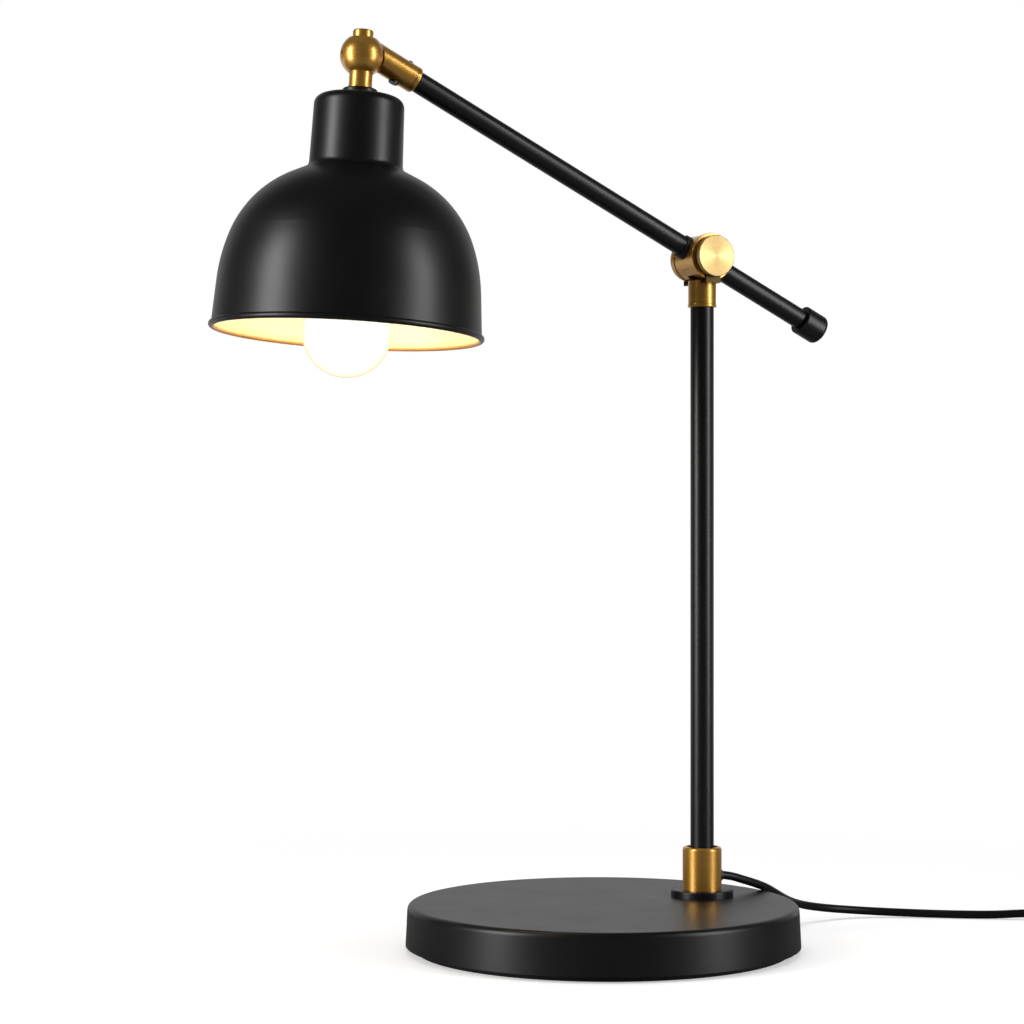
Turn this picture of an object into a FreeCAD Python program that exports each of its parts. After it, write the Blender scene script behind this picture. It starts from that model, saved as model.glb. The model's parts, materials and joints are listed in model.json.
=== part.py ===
import FreeCAD, Part
import math
import os
from FreeCAD import Vector, Rotation

# Dome shade desk lamp. Millimetres, +Z up. The origin is the centre of the base's underside,
# +X points from the base's centre to the pole, and the arm reaches out towards -X.

# ---- Driving dimensions -------------------------------------------------------------------

# running and seating clearances
shaft_clearance = 0.05      # radial, for what turns in a hole
face_clearance = 0.06       # between faces that turn against each other
loose_fit = 0.15            # radial, for what is only slipped in
soft_clearance = 0.3        # round flex and other soft pieces
seat_clearance = 0.25       # between the clamp barrel and what it lies over
past = 1.0                  # how far a cut runs on past the face that it opens
through = 40.0              # reach of a cut that goes right through a small piece

# base
base_radius = 104.8         # at the lower edge of the side
side_flare = 0.9            # how far that edge stands out past the top of the side
base_height = 24.6
base_wall = 1.6
base_edge_radius = 3.0
foot_inset = 5.3            # foot to the side's lower edge
foot_thickness = 3.0
foot_edge_radius = 0.6
plate_thickness = 1.0
plate_inset = 1.2           # plate to the inside of the cover
weight_thickness = 9.0
weight_inset = 4.0          # weight to the inside of the cover
weight_boss_radius = 7.0
weight_boss_circle = 70.0
weight_boss_count = 3
weight_boss_angle = 60.0    # degrees from +X to the first boss
screw_radius = 2.0
screw_head_radius = 3.8
screw_depth = 6.0

# pole and its foot
pole_offset = 61.6          # base centre to pole
pole_radius = 6.35
pole_wall = 1.0
pole_top = 352.0
flange_radius = 16.9
flange_thickness = 3.5
flange_edge_radius = 0.8
sleeve_radius = 10.55
sleeve_height = 23.0
sleeve_edge_radius = 1.4
sleeve_recess_radius = 8.4
sleeve_recess_depth = 3.2
nipple_radius = 5.0
nipple_bore_radius = 3.0
nipple_proud = 1.0          # past the nut under the weight
nut_radius = 8.5            # across corners, for all the hex nuts
nut_height = 4.0
base_washer_radius = 12.0
base_washer_thickness = 1.5
pole_foot_height = 3.4
pole_end_gap = 0.4          # pole's lower end above the flange

# cord
cord_radius = 2.3
cord_exit_height = 35.0
bush_wall = 0.5
bush_flange_radius = 3.3
bush_flange_depth = 0.6     # into the sleeve's outside
bush_proud = 1.2

# swivel at the pole's top
stem_radius = 4.0
stem_bore_radius = 2.6
head_plug_depth = 14.0
socket_radius = 7.55
socket_lip_radius = 7.8
socket_lip_height = 1.7
socket_lip_edge = 0.4
socket_overlap = 8.5        # how far the socket reaches down over the pole
socket_floor = 2.0
clip_thickness = 0.8
clip_radius = 5.2
clip_groove_depth = 0.6
clip_mouth = 3.0            # opening of the clip
stem_end = 0.5              # of the stem above the clip
stem_room = 0.69            # stem's end to the clamp's strap

# clamp
barrel_radius = 12.3
barrel_band_radius = 12.7
barrel_band_width = 1.9
barrel_band_edge = 0.35
barrel_half_length = 10.8
cheek_thickness = 1.0
cheek_radius = 9.8
strap_thickness = 1.2
strap_width = 9.0
strap_hole_radius = 3.6     # for the flex
socket_rise = 0.6           # socket's top above the strap's
knob_radius = 11.2
knob_thickness = 3.2
knob_step_radius = 10.2
knob_step = 0.8
knob_edge_radius = 0.5
stud_radius = 2.5
stud_depth = 3.4            # into the barrel's end
stud_end_gap = 0.2
pin_hole_radius = 0.8       # spanner hole in the rear cap's edge
pin_hole_depth = 3.0

# arm
arm_slope = 25.55           # degrees above the horizontal, towards the shade
arm_radius = 5.5
arm_wall = 1.0
arm_reach = 221.0           # tilt axis to knuckle, along the arm
arm_tail = 70.5             # tilt axis to the end cap's open face
cap_length = 14.5
cap_radius = 8.1
cap_floor = 3.0
cap_edge_radius = 2.6
cap_lip_radius = 0.8
bush_radius = 6.1
bush_collar_radius = 6.4
bush_collar_edge = 0.45
bush_collar_reach = 14.6    # from the tilt axis
bush_inner_reach = 7.0
bush_seat_depth = 0.8       # counterbore under the barrel's surface
flex_slot_length = 12.0     # way down for the flex, in the tube
flex_slot_width = 5.8
flex_slot_margin = 0.5      # by which the barrel's slot is longer
flex_bend_radius = 5.0
flex_end_height = 1.5       # flex's end above the barrel's underside

# ferrule and tongue
ferrule_radius = 6.85
ferrule_end = 31.5          # from the knuckle's axis
ferrule_groove_width = 0.7
ferrule_groove_depth = 0.45
ferrule_ring_length = 2.2
ferrule_bore_length = 14.0
ferrule_edge_radius = 0.9
knuckle_drop = 3.6          # knuckle axis under the arm's axis
tongue_thickness = 6.0
tongue_half_height = 2.4
tongue_eye_radius = 5.0
tongue_inset = 0.4          # under the ferrule's outside
tongue_plug_start = 1.5     # past the hollow end
tongue_plug_depth = 9.0     # into the arm's tube
tongue_bore_radius = 2.5
screw_bite = 0.2            # into the tube's wall
top_screw_radius = 1.1
top_screw_place = 24.9
top_screw_proud = 0.7
low_screw_radius = 2.6
low_shank_radius = 1.6
low_screw_place = 20.9
low_screw_proud = 0.7
low_screw_sink = 0.5        # head's seat under the ferrule's outside

# knuckle barrel
head_tilt = 3.4             # degrees, the shade's mouth swung away from the pole
knuckle_radius = 11.15      # of the ball that the barrel is turned from
knuckle_half_height = 8.75
knuckle_top_edge = 2.2
knuckle_low_edge = 0.6
saddle_gap = 0.6            # between the barrel and the ferrule's hollow end
knuckle_pin_radius = 2.0
tilt_towards_pole = 12.0
tilt_outwards = 22.0
button_radius = 5.25
button_height = 4.0
button_edge_radius = 0.9
button_stem_radius = 2.75
button_stem_length = 2.4
knuckle_slot_clearance = 0.2
knuckle_screw_radius = 0.8
knuckle_screw_seat = 0.4    # clear of the tongue's eye
knuckle_screw_sink = 0.8    # under the ball
neck_radius = 5.9
neck_recess_radius = 6.35
neck_recess_depth = 0.8
neck_flare = 0.35
neck_flare_height = 2.5

# shade; heights are measured down from the knuckle's axis
washer_radius = 8.9
washer_edge_radius = 0.9
washer_top = 17.2
shade_top = 21.2
shade_wall = 1.0
collar_top_radius = 22.9
collar_low_radius = 23.7
collar_edge_radius = 5.0
collar_low = 55.2
collar_fillet_radius = 4.0
rim_wall_radius = 68.3
rim_level = 140.6
rim_bead_radius = 1.6
rim_bead_inset = 0.3        # bead's centre inside the wall's outside
skirt_lean = 4.06           # degrees from upright
skirt_length = 22.6
lower_bend_radius = 89.3
lower_bend = 16.03          # degrees
upper_bend_radius = 56.15
upper_bend = 44.0           # degrees

# lampholder and bulb, same heights
holder_top = 43.0
holder_shoulder = 52.0
holder_mouth = 103.0
holder_radius = 16.0
holder_wall = 1.8
holder_boss_radius = 7.5
holder_boss_height = 4.0
holder_boss_flare = 1.0
holder_thread_depth = 3.0   # of the nipple into the holder
holder_depth = 29.0         # of its bore, from the mouth
flex_end_room = 6.0         # flex's end above that floor
shell_radius = 13.9
shell_wall = 0.4
shell_length = 24.0
shell_inset = 1.0           # inside the holder's mouth
contact_radius = 4.0
contact_height = 2.6
bulb_radius = 22.6
bulb_reach = 39.4           # from the cap's end to the globe's centre
bulb_wall = 0.8
bulb_cap_radius = 13.2
bulb_cap_length = 25.0
bulb_cap_taper = 5.0
bulb_cap_lap = 0.4          # glass inside the cap's outside
bulb_neck_radius = 14.2
bulb_neck_taper = 9.0

# in-line switch, plug and coil tie
switch_length = 52.0
switch_width = 24.0
switch_height = 15.0
switch_end_width = 12.0
switch_end_height = 9.0
switch_taper = 12.0
switch_edge_radius = 1.6
rocker_half_length = 9.4
rocker_width = 11.0
rocker_end_height = 3.2     # above the rocker's axis
rocker_middle_height = 1.9
rocker_depth = 4.2
rocker_axis_depth = 2.2     # under the switch's top
rocker_rest_tilt = 7.0
rocker_pivot_radius = 1.0
rocker_pivot_reach = 2.0    # past the rocker's side
rocker_pivot_gap = 0.2
rocker_end_lean = 0.6
rocker_floor_gap = 1.0
plug_length = 34.0
plug_width = 35.0
plug_height = 13.6
plug_edge_radius = 1.2
plug_corner_radius = 3.0
plug_rear_width = 13.0
plug_neck_length = 8.0
plug_neck_flare = 1.5
plug_shoulder = 19.0        # from the plug's rear to its full width
plug_shoulder_inset = 1.5
plug_tail_length = 22.0
plug_tail_wall = 1.0
plug_tail_radius = 5.4      # where it meets the plug
plug_pin_radius = 2.0
plug_pin_length = 19.0
plug_pin_spacing = 18.6
plug_pin_edge_radius = 1.0
tie_width = 9.0
tie_thickness = 1.1
tie_corner_radius = 2.0
tie_slack = 0.5

# put-away coil
coil_middle_radius = 25.3
coil_pitch = 5.15           # between turns and between layers
coil_layers = 4
coil_turns_per_layer = 2.0625
coil_run_in = 24.0          # straight, from the switch
coil_run_out = 5.0          # straight, to the plug's lead

# ---- Helpers ------------------------------------------------------------------------------

X = Vector(1, 0, 0)
Y = Vector(0, 1, 0)
Z = Vector(0, 0, 1)
ORIGIN = Vector(0, 0, 0)


def rod(radius, start, end):
    """A cylinder between two points."""
    return Part.makeCylinder(radius, (end - start).Length, start, end - start)


def pipe(outer, inner, start, end):
    """A tube between two points."""
    return rod(outer, start, end).cut(rod(inner, start, end))


def ring(outer, inner, low, high, centre=ORIGIN):
    """An upright tube between two heights."""
    return pipe(outer, inner, centre + Vector(0, 0, low), centre + Vector(0, 0, high))


def block(low, high):
    """A box between two corners."""
    size = high - low
    return Part.makeBox(size.x, size.y, size.z, low)


def spin(edges):
    """Revolve a closed outline in the XZ plane about the Z axis."""
    return Part.Face(Part.Wire(edges)).revolve(ORIGIN, Z, 360)


def line(a, b):
    return Part.LineSegment(a, b).toShape()


def arc(a, middle, b):
    return Part.Arc(a, middle, b).toShape()


def outline(points):
    """Straight edges through the points, closed."""
    return [line(points[i - 1], points[i]) for i in range(len(points))]


def hexagon(radius, low, high, centre=ORIGIN):
    """An upright hexagonal prism."""
    corners = [centre + Vector(radius * math.cos(k * math.pi / 3), radius * math.sin(k * math.pi / 3), low)
               for k in range(6)]
    return Part.Face(Part.Wire(outline(corners))).extrude(Vector(0, 0, high - low))


def sweep(path, radius):
    """A round bar along a path of lines and arcs."""
    first = path.OrderedEdges[0]
    start = first.valueAt(first.FirstParameter)
    direction = first.tangentAt(first.FirstParameter)
    if (start - path.OrderedVertexes[0].Point).Length > 0.001:
        start = first.valueAt(first.LastParameter)
        direction = first.tangentAt(first.LastParameter) * -1
    section = Part.Wire(Part.Circle(start, direction, radius).toShape())
    return path.makePipeShell([section], True, False)


def rounded(shape, radius, chosen):
    """Fillet the edges that the test picks."""
    edges = [edge for edge in shape.Edges if chosen(edge)]
    return shape.makeFillet(radius, edges)


def edge_at(edge, point, direction, tolerance=0.01):
    """True for a circular edge whose centre lies in the plane through the point."""
    if not isinstance(edge.Curve, Part.Circle):
        return False
    return abs((edge.Curve.Center - point).dot(direction)) < tolerance


def place(shape, angle, point):
    """Turn a shape about the Y axis at the origin, then move it to its point."""
    moved = shape.copy()
    moved.Placement = FreeCAD.Placement(point, Rotation(Y, angle)).multiply(moved.Placement)
    return moved


os.makedirs("parts", exist_ok=True)


def write(name, shape):
    """Save one node, and print its volume as a check."""
    solids = shape.Solids
    kept = solids[0] if len(solids) == 1 else Part.makeCompound(solids)
    kept.exportStep("parts/" + name + ".step")
    print(f"{name:20s} solids {len(solids)}  volume {kept.Volume:12.2f}  valid {kept.isValid()}")


# ---- Base ---------------------------------------------------------------------------------

pole_foot_point = Vector(pole_offset, 0, 0)
base_top_radius = base_radius - side_flare
foot_radius = base_radius - foot_inset
cover_inside = base_height - base_wall
plate_low = foot_thickness
plate_high = plate_low + plate_thickness
weight_low = cover_inside - weight_thickness


def base_outline(shrink, low, high, edge):
    """Half section of the base: a flared side and a rounded top edge."""
    centre = Vector(base_top_radius - shrink - edge, 0, high - edge)
    diagonal = Vector(math.sqrt(0.5), 0, math.sqrt(0.5))
    side_top = centre + X * edge
    top = centre + Z * edge
    return [
        line(Vector(0, 0, low), Vector(base_radius - shrink, 0, low)),
        line(Vector(base_radius - shrink, 0, low), side_top),
        arc(side_top, centre + diagonal * edge, top),
        line(top, Vector(0, 0, high)),
        line(Vector(0, 0, high), Vector(0, 0, low)),
    ]


def make_base():
    outer = spin(base_outline(0, foot_thickness, base_height, base_edge_radius))
    inner = spin(base_outline(base_wall, foot_thickness, cover_inside, base_edge_radius - base_wall))
    nipple_hole = rod(nipple_radius + loose_fit, pole_foot_point, pole_foot_point + Z * (base_height + past))
    cover = outer.cut(inner).cut(nipple_hole)
    write("base_cover", cover)

    weight_radius = base_top_radius - base_wall - weight_inset
    weight = rod(weight_radius, Vector(0, 0, weight_low), Vector(0, 0, cover_inside))
    screws = []
    for k in range(weight_boss_count):
        turn = math.radians(weight_boss_angle + 360 * k / weight_boss_count)
        spot = Vector(math.cos(turn), math.sin(turn), 0) * weight_boss_circle
        boss = rod(weight_boss_radius, spot + Z * plate_high, spot + Z * (weight_low + past))
        shank = rod(screw_radius, spot + Z * plate_high, spot + Z * (plate_high + screw_depth))
        weight = weight.fuse(boss).cut(shank)
        head = Part.makeCone(screw_head_radius, screw_radius, plate_thickness, spot + Z * plate_low)
        screws.append(head.fuse(shank))
    weight = weight.cut(nipple_hole).removeSplitter()
    write("base_weight", weight)

    plate_radius = base_radius - base_wall - plate_inset
    plate = rod(plate_radius, Vector(0, 0, plate_low), Vector(0, 0, plate_high))
    for screw in screws:
        plate = plate.cut(screw)
    write("bottom_plate", plate)
    write("bottom_screws", Part.makeCompound(screws))

    foot = rod(foot_radius, ORIGIN, Vector(0, 0, foot_thickness))
    foot = rounded(foot, foot_edge_radius, lambda edge: edge_at(edge, ORIGIN, Z))
    write("foot_pad", foot)


# ---- Pole foot ----------------------------------------------------------------------------

flange_top = base_height + flange_thickness
sleeve_top = flange_top + sleeve_height
pole_bottom = flange_top + pole_end_gap
cord_exit_x = pole_offset + sleeve_radius + bush_proud


def cord_hole(radius):
    """The side hole for the cord, from the pole's axis outwards."""
    start = Vector(pole_offset, 0, cord_exit_height)
    return rod(radius, start, start + X * (sleeve_radius + bush_proud + past))


def make_pole_foot():
    nipple_low = weight_low - base_washer_thickness - nut_height - nipple_proud
    nipple_high = pole_bottom + pole_foot_height
    nipple = ring(nipple_radius, nipple_bore_radius, nipple_low, nipple_high, pole_foot_point)
    write("base_nipple", nipple)
    washer_low = weight_low - base_washer_thickness
    hole = nipple_radius + loose_fit
    write("base_washer", ring(base_washer_radius, hole, washer_low, weight_low, pole_foot_point))
    nut = hexagon(nut_radius, washer_low - nut_height, washer_low, pole_foot_point)
    bore = rod(nipple_radius, pole_foot_point, pole_foot_point + Z * base_height)
    write("base_nut", nut.cut(bore))

    flange = ring(flange_radius, hole, base_height, flange_top, pole_foot_point)
    flange = rounded(flange, flange_edge_radius, lambda edge: edge_at(edge, Z * flange_top, Z)
                     and edge.Curve.Radius > nut_radius)
    write("base_flange", flange)

    bore_radius = pole_radius + loose_fit
    sleeve = ring(sleeve_radius, bore_radius, flange_top, sleeve_top, pole_foot_point)
    recess = ring(sleeve_recess_radius, bore_radius, sleeve_top - sleeve_recess_depth, sleeve_top,
                  pole_foot_point)
    sleeve = sleeve.cut(recess)
    sleeve = rounded(sleeve, sleeve_edge_radius,
                     lambda edge: edge_at(edge, Z * sleeve_top, Z)
                     and abs(edge.Curve.Radius - sleeve_radius) < 0.01)
    bush_hole = cord_radius + bush_wall
    sleeve = sleeve.cut(cord_hole(bush_hole))
    write("base_sleeve", sleeve)

    start = Vector(pole_offset + bore_radius + soft_clearance, 0, cord_exit_height)
    wall_end = Vector(pole_offset + sleeve_radius, 0, cord_exit_height)
    bush_end = wall_end + X * bush_proud
    bush = pipe(bush_hole, cord_radius + shaft_clearance, start, bush_end)
    flange_ring = pipe(bush_flange_radius, bush_hole, wall_end - X * bush_flange_depth, bush_end)
    flange_ring = flange_ring.cut(rod(sleeve_radius, Vector(pole_offset, 0, flange_top),
                                      Vector(pole_offset, 0, sleeve_top)))
    bush = bush.fuse(flange_ring).removeSplitter()
    write("cord_bush", bush)

    inner = pole_radius - pole_wall
    pole = ring(pole_radius, inner, pole_bottom, pole_top, pole_foot_point)
    pole = pole.cut(cord_hole(cord_radius + soft_clearance))
    write("pole", pole)
    plug = ring(inner, nipple_radius, pole_bottom, nipple_high, pole_foot_point)
    write("pole_foot", plug)


# ---- Swivel at the pole's top ----------------------------------------------------------------

pole_head_point = Vector(pole_offset, 0, pole_top)
socket_floor_top = pole_top + face_clearance + socket_floor
clip_low = socket_floor_top + face_clearance
stem_top = socket_floor_top + clip_thickness + stem_end
strap_low = stem_top + stem_room
strap_top = strap_low + strap_thickness
clamp_height = strap_top + seat_clearance + barrel_band_radius       # of the tilt axis
clamp_point = Vector(pole_offset, 0, clamp_height)
cheek_inner = barrel_half_length + face_clearance
cheek_outer = cheek_inner + cheek_thickness
knob_inner = cheek_outer + face_clearance
knob_outer = knob_inner + knob_thickness


def make_swivel():
    inner = pole_radius - pole_wall
    head = rod(inner, pole_head_point - Z * head_plug_depth, pole_head_point)
    head = head.fuse(rod(stem_radius, pole_head_point, Vector(pole_offset, 0, stem_top)))
    groove_radius = stem_radius - clip_groove_depth
    groove = ring(stem_radius + past, groove_radius, clip_low, clip_low + clip_thickness, pole_foot_point)
    head = head.cut(groove)
    head = head.cut(rod(stem_bore_radius, pole_head_point - Z * (head_plug_depth + past), clamp_point))
    write("pole_head", head)
    clip = ring(clip_radius, groove_radius, clip_low, clip_low + clip_thickness, pole_foot_point)
    mouth = block(Vector(pole_offset, -clip_mouth / 2, clip_low),
                  Vector(pole_offset + clip_radius + past, clip_mouth / 2, clip_low + clip_thickness))
    write("swivel_clip", clip.cut(mouth))

    socket_low = Vector(pole_offset, 0, pole_top - socket_overlap)
    socket = rod(socket_radius, socket_low, Vector(pole_offset, 0, strap_top + socket_rise))
    lip = rod(socket_lip_radius, socket_low, socket_low + Z * socket_lip_height)
    lip = rounded(lip, socket_lip_edge, lambda edge: isinstance(edge.Curve, Part.Circle))
    socket = socket.fuse(lip)
    socket = socket.cut(rod(pole_radius + shaft_clearance, pole_foot_point,
                            pole_head_point + Z * face_clearance))
    socket = socket.cut(rod(stem_radius + shaft_clearance, pole_head_point, clamp_point))
    cavity_low = Vector(pole_offset, 0, socket_floor_top)
    socket = socket.cut(rod(clip_radius + soft_clearance, cavity_low, clamp_point))
    saddle = rod(barrel_radius + seat_clearance, clamp_point - Y * through, clamp_point + Y * through)
    half = strap_width / 2
    strap_space = block(Vector(pole_offset - half, -through, strap_low),
                        Vector(pole_offset + half, through, clamp_height))
    socket = socket.cut(saddle).cut(strap_space)
    write("swivel_socket", socket)

    stirrup = block(Vector(pole_offset - half, -cheek_outer, strap_low),
                    Vector(pole_offset + half, cheek_outer, strap_top))
    for side in (-1, 1):
        near = clamp_point + Y * side * cheek_inner
        far = clamp_point + Y * side * cheek_outer
        low_y = min(near.y, far.y)
        leg = block(Vector(pole_offset - half, low_y, strap_low),
                    Vector(pole_offset + half, low_y + cheek_thickness, clamp_height))
        stirrup = stirrup.fuse(rod(cheek_radius, near, far)).fuse(leg)
    stud_hole = rod(stud_radius + shaft_clearance, clamp_point - Y * through, clamp_point + Y * through)
    flex_hole = rod(strap_hole_radius, pole_head_point, clamp_point)
    stirrup = stirrup.cut(stud_hole).cut(flex_hole)
    write("clamp_stirrup", stirrup.removeSplitter())


# ---- Arm: built along X with the tilt axis at the origin and the knuckle towards -X ---------------

knuckle_x = -arm_reach
saddle_radius = knuckle_radius + saddle_gap
bore_inner = arm_radius - arm_wall


def to_arm(shape):
    return place(shape, arm_slope, clamp_point)


def clamp_disc(side, stud_end):
    """A turned disc with a stepped back face and its stud; side is -1 in front."""
    disc = rod(knob_radius, Y * side * (knob_inner + knob_step), Y * side * knob_outer)
    disc = rounded(disc, knob_edge_radius, lambda edge: edge_at(edge, Y * side * knob_outer, Y))
    disc = disc.fuse(rod(knob_step_radius, Y * side * knob_inner, Y * side * (knob_inner + knob_step)))
    stud = rod(stud_radius, Y * side * stud_end, Y * side * (knob_inner + knob_step))
    return disc.fuse(stud).removeSplitter()


def make_clamp():
    half = barrel_half_length
    barrel = rod(barrel_radius, Y * -half, Y * half)
    for side in (-1, 1):
        band = rod(barrel_band_radius, Y * side * (half - barrel_band_width), Y * side * half)
        band = rounded(band, barrel_band_edge, lambda edge: isinstance(edge.Curve, Part.Circle))
        barrel = barrel.fuse(band)
    barrel = barrel.cut(rod(bush_radius, X * -through, X * through))
    seat = math.sqrt(barrel_radius ** 2 - bush_collar_radius ** 2) - bush_seat_depth
    for side in (-1, 1):
        barrel = barrel.cut(rod(bush_collar_radius, X * side * seat, X * side * through))
    stud_end = half - stud_depth
    hole_end = stud_end - stud_end_gap
    barrel = barrel.cut(rod(stud_radius + shaft_clearance, Y * -through, Y * -hole_end))
    barrel = barrel.cut(rod(stud_radius, Y * through, Y * hole_end))
    slot_x = flex_slot_length / 2 + flex_slot_margin
    slot_y = (flex_slot_width + flex_slot_margin) / 2
    flex_slot = block(Vector(-slot_x, -slot_y, -through), Vector(slot_x, slot_y, 0))
    write("clamp_barrel", to_arm(barrel.cut(flex_slot).removeSplitter()))

    bushes = []
    for side in (-1, 1):
        end = X * side * bush_collar_reach
        sleeve = pipe(bush_radius, arm_radius, X * side * bush_inner_reach, end)
        collar = pipe(bush_collar_radius, arm_radius, X * side * seat, end)
        collar = rounded(collar, bush_collar_edge, lambda edge: edge_at(edge, end, X)
                         and edge.Curve.Radius > bush_radius)
        bushes.append(sleeve.fuse(collar).removeSplitter())
    write("arm_bushes", to_arm(Part.makeCompound(bushes)))

    write("clamp_knob", to_arm(clamp_disc(-1, stud_end)))
    hole_y = (knob_inner + knob_step + knob_outer) / 2
    pin_hole = rod(pin_hole_radius, Vector(-knob_radius - past, hole_y, 0),
                   Vector(-knob_radius + pin_hole_depth, hole_y, 0))
    write("rear_pivot_cap", to_arm(clamp_disc(1, stud_end).cut(pin_hole)))


def make_arm():
    ferrule_high = knuckle_x + ferrule_end
    tube_left = ferrule_high - ferrule_bore_length
    tube_right = arm_tail + cap_length - cap_floor
    tube = pipe(arm_radius, bore_inner, X * tube_left, X * tube_right)
    slot_x = flex_slot_length / 2
    slot_y = flex_slot_width / 2
    tube = tube.cut(block(Vector(-slot_x, -slot_y, -through), Vector(slot_x, slot_y, 0)))

    cap_end = arm_tail + cap_length
    cap = rod(cap_radius, X * arm_tail, X * cap_end)
    cap = rounded(cap, cap_edge_radius, lambda edge: edge_at(edge, X * cap_end, X))
    cap = rounded(cap, cap_lip_radius, lambda edge: edge_at(edge, X * arm_tail, X))
    cap = cap.cut(rod(arm_radius, X * arm_tail, X * tube_right))
    write("arm_end_cap", to_arm(cap))

    # the ferrule: grooved near its end, hollowed to the knuckle's ball, bored for tube and tongue
    knuckle_axis = Vector(knuckle_x, 0, -knuckle_drop)
    groove_low = ferrule_high - ferrule_ring_length - ferrule_groove_width
    ferrule = rod(ferrule_radius, X * knuckle_x, X * ferrule_high)
    ferrule = rounded(ferrule, ferrule_edge_radius, lambda edge: edge_at(edge, X * ferrule_high, X))
    groove = pipe(ferrule_radius + past, ferrule_radius - ferrule_groove_depth, X * groove_low,
                  X * (groove_low + ferrule_groove_width))
    ferrule = ferrule.cut(groove)
    ferrule = ferrule.cut(Part.makeSphere(saddle_radius, knuckle_axis))
    ferrule = ferrule.cut(rod(arm_radius, X * tube_left, X * (ferrule_high + past)))
    ferrule = ferrule.cut(rod(bore_inner, X * (knuckle_x - past), X * (ferrule_high + past)))

    # the tongue: a flat eye and bar on a round plug in the tube's end
    half = tongue_thickness / 2
    hollow_end = knuckle_x + saddle_radius
    eye = rod(tongue_eye_radius, knuckle_axis - Y * half, knuckle_axis + Y * half)
    bar = block(knuckle_axis + Vector(0, -half, -tongue_half_height),
                Vector(tube_left - loose_fit, half, tongue_half_height - knuckle_drop))
    bar = bar.common(rod(ferrule_radius - tongue_inset, X * (knuckle_x - past), X * ferrule_high))
    tongue_plug = rod(bore_inner, X * (hollow_end + tongue_plug_start), X * (tube_left + tongue_plug_depth))
    tongue = eye.fuse(bar).fuse(tongue_plug)
    tongue = tongue.cut(rod(tongue_bore_radius, X * (hollow_end - tongue_plug_start), X * ferrule_high))
    pin_hole = rod(knuckle_pin_radius + shaft_clearance, knuckle_axis - Y * half, knuckle_axis + Y * half)
    write("knuckle_tongue", to_arm(tongue.cut(pin_hole).removeSplitter()))

    low_spot = X * (knuckle_x + low_screw_place)
    low_seat = ferrule_radius - low_screw_sink
    low_screw = rod(low_shank_radius, low_spot - Z * (arm_radius - screw_bite), low_spot - Z * ferrule_radius)
    low_screw = low_screw.fuse(rod(low_screw_radius, low_spot - Z * low_seat,
                                   low_spot - Z * (ferrule_radius + low_screw_proud)))
    top_spot = X * (knuckle_x + top_screw_place)
    top_screw = rod(top_screw_radius, top_spot + Z * (arm_radius - screw_bite),
                    top_spot + Z * (ferrule_radius + top_screw_proud))
    write("ferrule_screws", to_arm(Part.makeCompound([low_screw, top_screw])))
    write("ferrule", to_arm(ferrule.cut(bar).cut(low_screw).cut(top_screw)))
    write("arm_tube", to_arm(tube.cut(low_screw).cut(top_screw)))

    bend = flex_bend_radius
    middle = Vector(bend * (math.sqrt(0.5) - 1), 0, bend * (math.sqrt(0.5) - 1))
    flex_path = Part.Wire([
        line(X * (tube_left - loose_fit), X * -bend),
        arc(X * -bend, middle, Z * -bend),
        line(Z * -bend, Z * (flex_end_height - barrel_radius)),
    ])
    write("arm_flex", to_arm(sweep(flex_path, cord_radius)))


# ---- Head: built upright with the knuckle's axis at the origin ------------------------------------

knuckle_point = clamp_point + Rotation(Y, arm_slope).multVec(Vector(knuckle_x, 0, -knuckle_drop))
arm_angle_in_head = -arm_slope + head_tilt      # where the arm leaves, seen from the upright head
holder_floor = holder_mouth - holder_depth


def to_head(shape):
    return place(shape, head_tilt, knuckle_point)


def down(radius, depth):
    """A point of a head section: radius from the axis, depth under the knuckle's axis."""
    return Vector(radius, 0, -depth)


def shade_side(inset):
    """The dome's outline from the rim up to the collar, with its wall moved inwards by inset."""
    lean = math.radians(skirt_lean)
    place_now = down(rim_wall_radius, rim_level)
    edges = []

    def inwards(angle):
        return Vector(-math.cos(angle), 0, -math.sin(angle)) * inset

    def upwards(angle):
        return Vector(-math.sin(angle), 0, math.cos(angle))

    foot = place_now + upwards(lean) * skirt_length
    edges.append(line(place_now + inwards(lean), foot + inwards(lean)))
    place_now = foot
    for radius, bend in ((lower_bend_radius, lower_bend), (upper_bend_radius, upper_bend)):
        centre = place_now + Vector(-math.cos(lean), 0, -math.sin(lean)) * radius
        turned = [lean + math.radians(bend) * share for share in (0, 0.5, 1)]
        points = [centre + Vector(math.cos(a), 0, math.sin(a)) * (radius - inset) for a in turned]
        edges.append(arc(*points))
        lean = turned[2]
        place_now = centre + Vector(math.cos(lean), 0, math.sin(lean)) * radius
    return edges, lean


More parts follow.
